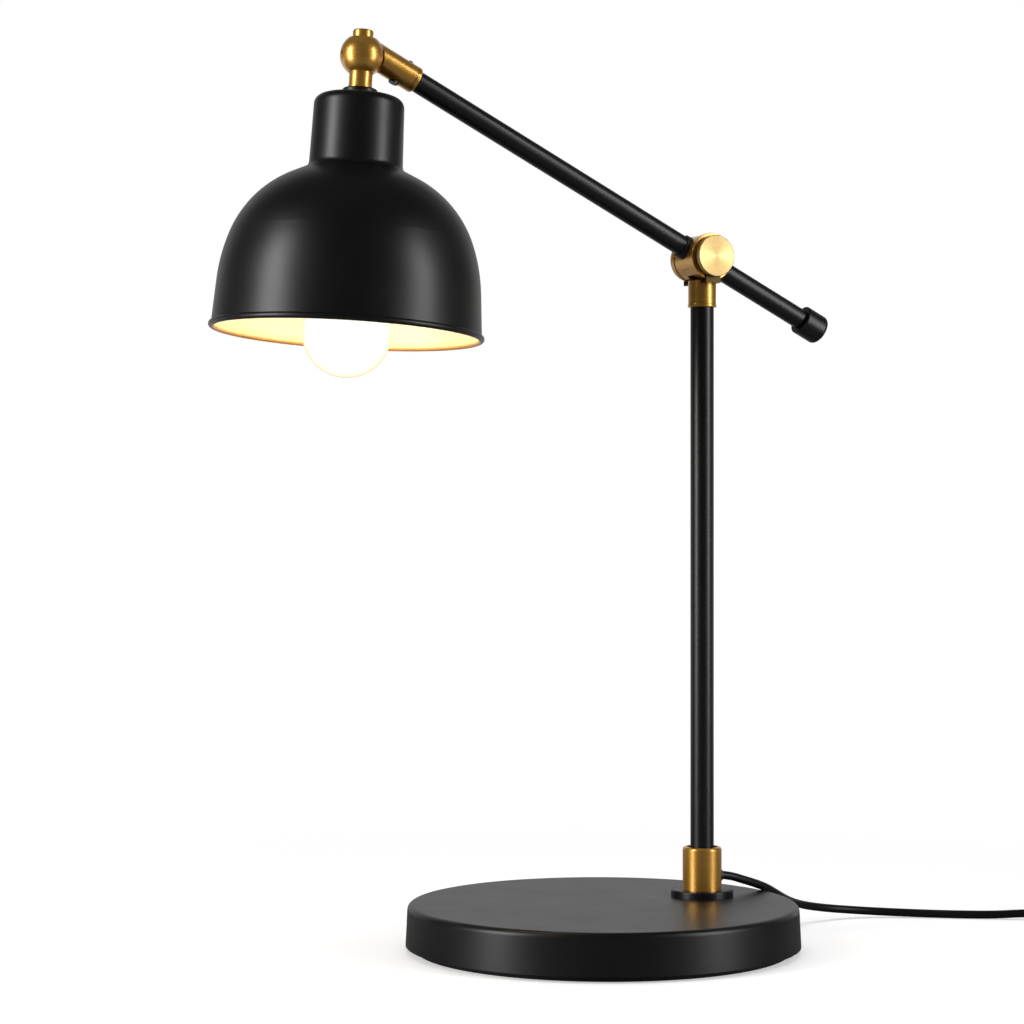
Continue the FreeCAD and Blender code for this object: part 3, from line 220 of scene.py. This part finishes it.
def turned_group():
    """Rings round the Z axis of the coordinates given: a mask and a normal."""
    group = bpy.data.node_groups.new("turning_marks", "ShaderNodeTree")
    new_socket(group, "Vector", "NodeSocketVector", "INPUT")
    new_socket(group, "Rings", "NodeSocketFloat", "INPUT", 3000.0)
    new_socket(group, "Depth", "NodeSocketFloat", "INPUT", 0.2)
    new_socket(group, "Marks", "NodeSocketFloat", "OUTPUT")
    new_socket(group, "Normal", "NodeSocketVector", "OUTPUT")
    tree = group.nodes
    link = group.links.new
    inputs = tree.new("NodeGroupInput")
    outputs = tree.new("NodeGroupOutput")
    split = tree.new("ShaderNodeSeparateXYZ")
    link(inputs.outputs["Vector"], split.inputs["Vector"])
    flat = tree.new("ShaderNodeCombineXYZ")
    link(split.outputs["X"], flat.inputs["X"])
    link(split.outputs["Y"], flat.inputs["Y"])
    radius = tree.new("ShaderNodeVectorMath")
    radius.operation = "LENGTH"
    link(flat.outputs["Vector"], radius.inputs[0])
    around = tree.new("ShaderNodeCombineXYZ")
    link(radius.outputs["Value"], around.inputs["X"])
    link(split.outputs["Z"], around.inputs["Y"])
    rings = tree.new("ShaderNodeTexNoise")
    rings.inputs["Detail"].default_value = 3.0
    rings.inputs["Roughness"].default_value = 0.7
    link(around.outputs["Vector"], rings.inputs["Vector"])
    link(inputs.outputs["Rings"], rings.inputs["Scale"])
    bump = tree.new("ShaderNodeBump")
    bump.inputs["Distance"].default_value = 0.00006
    link(inputs.outputs["Depth"], bump.inputs["Strength"])
    link(rings.outputs["Fac"], bump.inputs["Height"])
    link(rings.outputs["Fac"], outputs.inputs["Marks"])
    link(bump.outputs["Normal"], outputs.inputs["Normal"])
    return group


fine_grain = grain_group()
turning_marks = turned_group()


def start_material(name):
    """A material with its Principled shader and Object coordinates."""
    material = bpy.data.materials.new(name)
    material.use_nodes = True
    tree = material.node_tree
    shader = tree.nodes["Principled BSDF"]
    place = tree.nodes.new("ShaderNodeTexCoord")
    return material, tree, shader, place.outputs["Object"]


def shade_between(tree, value, dark, light, low=0.35, high=0.65):
    """A colour that runs from dark to light with a value."""
    ramp = tree.nodes.new("ShaderNodeValToRGB")
    ramp.color_ramp.elements[0].position = low
    ramp.color_ramp.elements[0].color = (*dark, 1)
    ramp.color_ramp.elements[1].position = high
    ramp.color_ramp.elements[1].color = (*light, 1)
    tree.links.new(value, ramp.inputs["Fac"])
    return ramp.outputs["Color"]


def grained(name, dark, light, rough, grain=2600.0, depth=0.15, specular=0.5, metallic=0.0):
    """A painted, moulded or cast finish with an even grain."""
    material, tree, shader, place = start_material(name)
    grain_node = tree.nodes.new("ShaderNodeGroup")
    grain_node.node_tree = fine_grain
    grain_node.inputs["Grain"].default_value = grain
    grain_node.inputs["Depth"].default_value = depth
    grain_node.inputs["Rough Low"].default_value = rough[0]
    grain_node.inputs["Rough High"].default_value = rough[1]
    tree.links.new(place, grain_node.inputs["Vector"])
    colour = shade_between(tree, grain_node.outputs["Patches"], dark, light)
    tree.links.new(colour, shader.inputs["Base Color"])
    tree.links.new(grain_node.outputs["Roughness"], shader.inputs["Roughness"])
    tree.links.new(grain_node.outputs["Normal"], shader.inputs["Normal"])
    shader.inputs["Metallic"].default_value = metallic
    shader.inputs["Specular IOR Level"].default_value = specular
    return material


def turned(name, centre, axis, dark, light, roughness=0.33, rings=3000.0, depth=0.12,
           metallic=0.85, coat=0.0):
    """Turned metal; its rings run round the axis through the centre."""
    material, tree, shader, place = start_material(name)
    frame_node = tree.nodes.new("ShaderNodeMapping")
    frame_node.vector_type = "TEXTURE"
    frame_node.inputs["Location"].default_value = centre
    turn = Vector((0, 0, 1)).rotation_difference(Vector(axis)).to_euler()
    frame_node.inputs["Rotation"].default_value = turn
    tree.links.new(place, frame_node.inputs["Vector"])
    marks = tree.nodes.new("ShaderNodeGroup")
    marks.node_tree = turning_marks
    marks.inputs["Rings"].default_value = rings
    marks.inputs["Depth"].default_value = depth
    tree.links.new(frame_node.outputs["Vector"], marks.inputs["Vector"])
    colour = shade_between(tree, marks.outputs["Marks"], dark, light, 0.2, 0.8)
    tree.links.new(colour, shader.inputs["Base Color"])
    rough = tree.nodes.new("ShaderNodeMapRange")
    rough.inputs["From Min"].default_value = 0.2
    rough.inputs["From Max"].default_value = 0.8
    rough.inputs["To Min"].default_value = roughness * 0.85
    rough.inputs["To Max"].default_value = roughness * 1.25
    tree.links.new(marks.outputs["Marks"], rough.inputs["Value"])
    tree.links.new(rough.outputs["Result"], shader.inputs["Roughness"])
    tree.links.new(marks.outputs["Normal"], shader.inputs["Normal"])
    shader.inputs["Metallic"].default_value = metallic
    shader.inputs["Coat Weight"].default_value = coat
    shader.inputs["Coat Roughness"].default_value = 0.16
    return material


def dress(material, *names):
    """Give CAD nodes a material."""
    for name in names:
        mesh = nodes[name].data
        mesh.materials.clear()
        mesh.materials.append(material)


# ---- Supply cord: jacket and pieces ---------------------------------------------------------------
# The flex has a smooth soft PVC jacket. The switch, its rocker, the bush and the plug are moulded in
# black plastic, and a flat band ties the coil.

jacket = grained("cord_jacket", (0.003, 0.003, 0.003), (0.005, 0.005, 0.005), (0.36, 0.44),
                 grain=900.0, depth=0.06, specular=0.35)
cord_curve.materials.append(jacket)
dress(jacket, "pole_flex", "arm_flex", "head_flex", "coil_tie")

moulded = grained("moulded_black", (0.014, 0.014, 0.015), (0.02, 0.02, 0.021), (0.42, 0.52),
                  grain=1500.0, depth=0.3)
dress(moulded, "cord_bush", "inline_switch", "switch_rocker", "plug", "arm_bushes", "lampholder_body")

pin_brass = turned("pin_metal", (0.2276, -0.1408, 0.0068), (1, 0, 0), (0.55, 0.52, 0.46), (0.7, 0.67, 0.6),
                   roughness=0.2, rings=4000.0, depth=0.05)
dress(pin_brass, "plug_pins")

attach(supply_cord, "base")
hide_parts("cord_tube", "cord_coil", "plug_lead")


# ---- Black pieces ---------------------------------------------------------------------------------
# Base, pole, arm, caps and washers are steel with a satin black powder coat.

paint_dark = (0.0022, 0.0022, 0.0023)
paint_light = (0.0032, 0.0031, 0.003)
paint_specular = 0.55
satin_black = grained("satin_black", paint_dark, paint_light, (0.35, 0.385), depth=0.012,
                      specular=paint_specular)
dress(satin_black, "base_cover", "base_flange", "pole", "arm_tube", "arm_end_cap", "shade_washer",
      "ferrule_screws", "knuckle_screw", "swivel_clip")
# The stirrup strap is coloured dark bronze: brass darkened as painted shade, so that it reads as brass lying
# in shadow under the barrel.
stirrup_shade_brass = grained("stirrup_shade_brass_tone", (0.05, 0.03, 0.011), (0.07, 0.043, 0.016), (0.34, 0.42), depth=0.03,
                  metallic=1.0)
dress(stirrup_shade_brass, "clamp_stirrup")

cast_iron = grained("cast_iron", (0.03, 0.03, 0.03), (0.06, 0.058, 0.055), (0.6, 0.8),
                    grain=700.0, depth=0.8)
dress(cast_iron, "base_weight")
rubber = grained("foot_rubber", (0.012, 0.012, 0.012), (0.02, 0.02, 0.02), (0.75, 0.85),
                 grain=1100.0, depth=0.3)
dress(rubber, "foot_pad")
zinc = grained("zinc_steel", (0.5, 0.5, 0.48), (0.62, 0.62, 0.6), (0.3, 0.42), grain=900.0, depth=0.1,
               metallic=1.0)
dress(zinc, "bottom_plate", "bottom_screws", "base_nipple", "base_washer", "base_nut", "pole_foot",
      "pole_head", "shade_nipple", "shade_nut")


# ---- Brass pieces ---------------------------------------------------------------------------------
# Turned from solid brass, each round its own axis, left satin and lacquered.

joint = {entry["name"]: entry for entry in frame["joints"]}
clamp_point = Vector(joint["arm_tilt"]["pos_m"])
knuckle_point = Vector(joint["head_tilt"]["pos_m"])
pole_x = clamp_point.x
arm_slope = math.radians(25.55)
arm_way = Vector((-math.cos(arm_slope), 0, math.sin(arm_slope)))
head_turn = math.radians(3.4)
head_up = Vector((math.sin(head_turn), 0, math.cos(head_turn)))

brass_dark = (0.72, 0.36, 0.055)
brass_light = (0.88, 0.48, 0.09)
lacquer = 0.9
dress(turned("upright_brass", (pole_x, 0, 0), (0, 0, 1), brass_dark, brass_light, coat=lacquer),
      "base_sleeve", "swivel_socket")
dress(turned("clamp_brass", clamp_point, (0, 1, 0), brass_dark, brass_light, coat=lacquer), "clamp_barrel")
disc_brass = turned("disc_brass", clamp_point, (0, 1, 0), (0.52, 0.35, 0.12), (0.82, 0.6, 0.28),
                    roughness=0.4, rings=1000.0, depth=0.3)
round_the_disc = disc_brass.node_tree.nodes.new("ShaderNodeTangent")
round_the_disc.direction_type = "RADIAL"
round_the_disc.axis = "Y"
disc_shader = disc_brass.node_tree.nodes["Principled BSDF"]
disc_shader.inputs["Anisotropic"].default_value = 0.75
disc_brass.node_tree.links.new(round_the_disc.outputs["Tangent"], disc_shader.inputs["Tangent"])
dress(disc_brass, "clamp_knob", "rear_pivot_cap")
dress(turned("ferrule_brass", clamp_point, arm_way, brass_dark, brass_light, coat=lacquer),
      "ferrule", "knuckle_tongue")
dress(turned("knuckle_brass", knuckle_point, head_up, brass_dark, brass_light, coat=lacquer),
      "knuckle_barrel", "top_button", "shade_neck")
dress(turned("pin_brass", knuckle_point, (0, 1, 0), brass_dark, brass_light, coat=lacquer), "knuckle_pin")
dress(turned("holder_brass", knuckle_point, head_up, (0.6, 0.45, 0.2), (0.75, 0.58, 0.3)),
      "lampholder_shell", "lampholder_contact")
dress(turned("bulb_cap_metal", knuckle_point, head_up, (0.6, 0.6, 0.58), (0.72, 0.72, 0.7)), "bulb_cap")


# ---- Flex shield -----------------------------------------------------------------------------------
# A curved brass slip that closes the barrel's slot on the shade's side of the flex. It is let in
# flush with the barrel's turned surface.

barrel_radius = 0.0123
slot_half_width = 0.0031
shield_wall = 0.0008
flush_depth = 0.00003
merge_within = 1e-7
shield_from = 12.0           # degrees from the barrel's underside, in the arm's frame
shield_to = 31.0
shield_steps = 10

shield_mesh = bmesh.new()
underside = Vector((-math.sin(arm_slope), 0, -math.cos(arm_slope)))
first_way = Matrix.Rotation(math.radians(shield_from), 3, "Y") @ underside
ends = [shield_mesh.verts.new(clamp_point + first_way * (barrel_radius - flush_depth) + Vector((0, y, 0)))
        for y in (-slot_half_width, slot_half_width)]
strip = shield_mesh.edges.new(ends)
bmesh.ops.spin(shield_mesh, geom=ends + [strip], cent=clamp_point, axis=(0, 1, 0),
               angle=math.radians(shield_to - shield_from), steps=shield_steps, use_merge=False)
bmesh.ops.remove_doubles(shield_mesh, verts=shield_mesh.verts, dist=merge_within)
for face in shield_mesh.faces:
    if face.normal.dot(face.calc_center_median() - clamp_point) < 0:
        face.normal_flip()
bmesh.ops.solidify(shield_mesh, geom=shield_mesh.faces[:], thickness=shield_wall)
shield_data = bpy.data.meshes.new("flex_shield")
shield_mesh.to_mesh(shield_data)
shield_mesh.free()
shield_data.materials.append(nodes["clamp_barrel"].data.materials[0])
flex_shield = bpy.data.objects.new("flex_shield", shield_data)
bpy.context.scene.collection.objects.link(flex_shield)
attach(flex_shield, "arm")


# ---- Shade ----------------------------------------------------------------------------------------
# Spun from one sheet of steel with its rim rolled over a wire. It is coated black outside and cream
# inside. Over the inner half of the rim the cream runs into a thin amber line of painted shading, where the
# bulb's light falls off.

rim_below_knuckle = 0.1406
eye_below_knuckle = 0.125
rim_shade_above = 0.004
rim_shade_below = 0.0015
shade_eye = knuckle_point - head_up * eye_below_knuckle

shade_finish, tree, shader, place = start_material("shade_finish")
grain_node = tree.nodes.new("ShaderNodeGroup")
grain_node.node_tree = fine_grain
grain_node.inputs["Depth"].default_value = 0.02
grain_node.inputs["Rough Low"].default_value = 0.35
grain_node.inputs["Rough High"].default_value = 0.39
tree.links.new(place, grain_node.inputs["Vector"])
black = shade_between(tree, grain_node.outputs["Patches"], paint_dark, paint_light)

# inside: where the surface faces the middle of the mouth
to_eye = tree.nodes.new("ShaderNodeVectorMath")
to_eye.operation = "SUBTRACT"
to_eye.inputs[1].default_value = shade_eye
tree.links.new(place, to_eye.inputs[0])
facing = tree.nodes.new("ShaderNodeVectorMath")
facing.operation = "DOT_PRODUCT"
tree.links.new(place.node.outputs["Normal"], facing.inputs[0])
tree.links.new(to_eye.outputs["Vector"], facing.inputs[1])
inside = tree.nodes.new("ShaderNodeMath")
inside.operation = "LESS_THAN"
inside.inputs[1].default_value = 0.0
tree.links.new(facing.outputs["Value"], inside.inputs[0])

# depth along the head's axis
along = tree.nodes.new("ShaderNodeVectorMath")
along.operation = "DOT_PRODUCT"
along.inputs[1].default_value = -head_up
tree.links.new(place, along.inputs[0])
# Cream enamel inside, turning warmer and then amber just above the rim's edge: that amber line is painted
# shading, not a colour of the enamel.
enamel_and_rim_shade = tree.nodes.new("ShaderNodeValToRGB")
enamel_and_rim_shade.color_ramp.elements[0].position = 0.0
enamel_and_rim_shade.color_ramp.elements[0].color = (0.9, 0.84, 0.68, 1)
enamel_and_rim_shade.color_ramp.elements[1].position = 0.6
enamel_and_rim_shade.color_ramp.elements[1].color = (0.9, 0.78, 0.5, 1)
rim_painted_shade = enamel_and_rim_shade.color_ramp.elements.new(0.9)
rim_painted_shade.color = (0.62, 0.3, 0.06, 1)
# The band of painted shading spans the last few millimetres above the rim's edge.
rim_shade_band = tree.nodes.new("ShaderNodeMapRange")
rim_depth = rim_below_knuckle - knuckle_point.dot(head_up)
rim_shade_band.inputs["From Min"].default_value = rim_depth - rim_shade_above
rim_shade_band.inputs["From Max"].default_value = rim_depth + rim_shade_below
tree.links.new(along.outputs["Value"], rim_shade_band.inputs["Value"])
tree.links.new(rim_shade_band.outputs["Result"], enamel_and_rim_shade.inputs["Fac"])

two_coats = tree.nodes.new("ShaderNodeMix")
two_coats.data_type = "RGBA"
tree.links.new(inside.outputs["Value"], two_coats.inputs["Factor"])
tree.links.new(black, two_coats.inputs["A"])
tree.links.new(enamel_and_rim_shade.outputs["Color"], two_coats.inputs["B"])
tree.links.new(two_coats.outputs["Result"], shader.inputs["Base Color"])
tree.links.new(grain_node.outputs["Roughness"], shader.inputs["Roughness"])
tree.links.new(grain_node.outputs["Normal"], shader.inputs["Normal"])
shader.inputs["Specular IOR Level"].default_value = paint_specular
dress(shade_finish, "shade")


# ---- Bulb -----------------------------------------------------------------------------------------
# A round frosted globe, lit. Seen straight on it is white, and its limb, where the glass is thick, is
# warmer. The light that it throws is warm.

thrown_power = 8.0
seen_power = 1.0

bulb_glass, tree, shader, place = start_material("lit_globe")
shader.inputs["Base Color"].default_value = (0.1, 0.08, 0.05, 1)
shader.inputs["Roughness"].default_value = 0.45
haze = tree.nodes.new("ShaderNodeTexNoise")
haze.inputs["Scale"].default_value = 20.0
tree.links.new(place, haze.inputs["Vector"])
thrown = shade_between(tree, haze.outputs["Fac"], (1.0, 0.76, 0.48), (1.0, 0.79, 0.53))
limb = tree.nodes.new("ShaderNodeLayerWeight")
limb.inputs["Blend"].default_value = 0.5
seen_ramp = tree.nodes.new("ShaderNodeValToRGB")
seen_ramp.color_ramp.elements[0].position = 0.42
seen_ramp.color_ramp.elements[0].color = (1.0, 1.0, 1.0, 1)
seen_ramp.color_ramp.elements[1].position = 0.9
seen_ramp.color_ramp.elements[1].color = (1.0, 0.62, 0.2, 1)
warm_edge = seen_ramp.color_ramp.elements.new(0.72)
warm_edge.color = (1.0, 0.96, 0.8, 1)
tree.links.new(limb.outputs["Facing"], seen_ramp.inputs["Fac"])
path = tree.nodes.new("ShaderNodeLightPath")
choice = tree.nodes.new("ShaderNodeMix")
choice.data_type = "RGBA"
tree.links.new(path.outputs["Is Camera Ray"], choice.inputs["Factor"])
tree.links.new(thrown, choice.inputs["A"])
tree.links.new(seen_ramp.outputs["Color"], choice.inputs["B"])
tree.links.new(choice.outputs["Result"], shader.inputs["Emission Color"])
power = tree.nodes.new("ShaderNodeMapRange")
power.inputs["To Min"].default_value = thrown_power
power.inputs["To Max"].default_value = seen_power
tree.links.new(path.outputs["Is Camera Ray"], power.inputs["Value"])
tree.links.new(power.outputs["Result"], shader.inputs["Emission Strength"])
dress(bulb_glass, "bulb_globe")


# ---- Floor, world and lamps -------------------------------------------------------------------------
# A plain white table in a white studio, with a tall soft light on each side and one above.

floor_mesh = bmesh.new()
bmesh.ops.create_grid(floor_mesh, x_segments=1, y_segments=1, size=30.0)
floor_data = bpy.data.meshes.new("floor")
floor_mesh.to_mesh(floor_data)
floor_mesh.free()
floor = bpy.data.objects.new("floor", floor_data)
bpy.context.scene.collection.objects.link(floor)

# The table is white to the eye. For the light that it sends back it is a mid grey, which keeps the
# black paint black, and behind the lamp it runs out into the white of the background.
view_way = (math.sin(view_turn), math.cos(view_turn), 0.0)


def math_node(tree, kind, first, second):
    """One Math node; its operands are sockets or numbers."""
    node = tree.nodes.new("ShaderNodeMath")
    node.operation = kind
    for slot, value in zip(node.inputs, (first, second)):
        if isinstance(value, (int, float)):
            slot.default_value = value
        else:
            tree.links.new(value, slot)
    return node.outputs["Value"]


def smooth_step(tree, value, low, high):
    """Runs from 0 to 1 between two values."""
    node = tree.nodes.new("ShaderNodeMapRange")
    node.interpolation_type = "SMOOTHSTEP"
    node.inputs["From Min"].default_value = low
    node.inputs["From Max"].default_value = high
    tree.links.new(value, node.inputs["Value"])
    return node.outputs["Result"]


def vector_node(tree, kind, first, second=None):
    """The value of one Vector Math node."""
    node = tree.nodes.new("ShaderNodeVectorMath")
    node.operation = kind
    tree.links.new(first, node.inputs[0])
    if second is not None:
        node.inputs[1].default_value = second
    return node.outputs["Value"]


table_to_room = 0.2
table_to_eye = 0.8
table_glow = 0.45
white_from = 0.2
white_by = 0.6
white_in_metal = 0.7

floor_paint, tree, shader, place = start_material("floor_white")
shader.inputs["Roughness"].default_value = 0.8
shader.inputs["Specular IOR Level"].default_value = 0.1
path = tree.nodes.new("ShaderNodeLightPath").outputs
table = tree.nodes.new("ShaderNodeMix")
table.data_type = "RGBA"
table.inputs["A"].default_value = (table_to_room, table_to_room, table_to_room, 1)
table.inputs["B"].default_value = (table_to_eye, table_to_eye, table_to_eye, 1)
tree.links.new(path["Is Camera Ray"], table.inputs["Factor"])
tree.links.new(table.outputs["Result"], shader.inputs["Base Color"])
shader.inputs["Emission Color"].default_value = (1, 1, 1, 1)
glow = math_node(tree, "MULTIPLY", path["Is Camera Ray"], table_glow)
tree.links.new(glow, shader.inputs["Emission Strength"])
far_off = smooth_step(tree, vector_node(tree, "LENGTH", place), white_from, white_by)
behind = smooth_step(tree, vector_node(tree, "DOT_PRODUCT", place, view_way), 0.3, 1.0)
mirrored = math_node(tree, "MAXIMUM", path["Is Glossy Ray"], path["Is Transmission Ray"])
run_out = math_node(tree, "MAXIMUM", math_node(tree, "MULTIPLY", path["Is Camera Ray"], far_off),
                    math_node(tree, "MULTIPLY", mirrored, math_node(tree, "MULTIPLY", behind, white_in_metal)))
white = tree.nodes.new("ShaderNodeEmission")
last = tree.nodes.new("ShaderNodeMixShader")
tree.links.new(run_out, last.inputs["Fac"])
tree.links.new(shader.outputs["BSDF"], last.inputs[1])
tree.links.new(white.outputs["Emission"], last.inputs[2])
tree.links.new(last.outputs["Shader"], tree.nodes["Material Output"].inputs["Surface"])
floor_data.materials.append(floor_paint)

# The studio is dim, with a white backdrop behind the lamp.
room_grey = 0.05
backdrop_in_metal = 0.55
world = bpy.data.worlds.new("studio")
world.use_nodes = True
bpy.context.scene.world = world
tree = world.node_tree
tree.nodes.clear()
out = tree.nodes.new("ShaderNodeOutputWorld")
backdrop = tree.nodes.new("ShaderNodeBackground")
backdrop.inputs["Color"].default_value = (1, 1, 1, 1)
room = tree.nodes.new("ShaderNodeBackground")
room.inputs["Color"].default_value = (room_grey, room_grey, room_grey, 1)
path = tree.nodes.new("ShaderNodeLightPath").outputs
direction = tree.nodes.new("ShaderNodeTexCoord").outputs["Generated"]
behind = smooth_step(tree, vector_node(tree, "DOT_PRODUCT", direction, view_way), 0.45, 0.95)
in_metal = math_node(tree, "MULTIPLY", behind, backdrop_in_metal)
mirrored = math_node(tree, "MULTIPLY", path["Is Glossy Ray"], in_metal)
straight = math_node(tree, "MAXIMUM", path["Is Camera Ray"], path["Is Transmission Ray"])
mix = tree.nodes.new("ShaderNodeMixShader")
tree.links.new(math_node(tree, "MAXIMUM", straight, mirrored), mix.inputs["Fac"])
tree.links.new(room.outputs["Background"], mix.inputs[1])
tree.links.new(backdrop.outputs["Background"], mix.inputs[2])
tree.links.new(mix.outputs["Shader"], out.inputs["Surface"])


box_height = 0.6
box_distance = 1.3
box_width = 0.35
box_tall = 1.2


def soft_light(name, bearing, power):
    """A tall soft box; bearing is degrees to the right of the camera, seen from the lamp."""
    data = bpy.data.lights.new(name, "AREA")
    data.shape = "RECTANGLE"
    data.size = box_width
    data.size_y = box_tall
    data.energy = power
    light = bpy.data.objects.new(name, data)
    angle = math.radians(bearing) - view_turn
    way = Vector((math.sin(angle), -math.cos(angle), 0))
    light.location = way * box_distance + Vector((0, 0, box_height))
    aim = Vector((0, 0, box_height)) - light.location
    light.rotation_euler = aim.to_track_quat("-Z", "Y").to_euler()
    bpy.context.scene.collection.objects.link(light)


soft_light("left_box", bearing=-63, power=12)
soft_light("right_box", bearing=65, power=9)

top_box_side = 1.2
top_data = bpy.data.lights.new("top_box", "AREA")
top_data.shape = "RECTANGLE"
top_data.size = top_box_side
top_data.size_y = top_box_side
top_data.energy = 12
top_light = bpy.data.objects.new("top_box", top_data)
top_light.location = (0.0, 0.1, 1.5)
top_light.visible_glossy = False        # a scrim hides it from the paint
bpy.context.scene.collection.objects.link(top_light)

bpy.context.scene.view_settings.view_transform = "Standard"


# ---- Update ------------------------------------------------------------------------------------------
# The view layer is brought up to date.

bpy.context.view_layer.update()
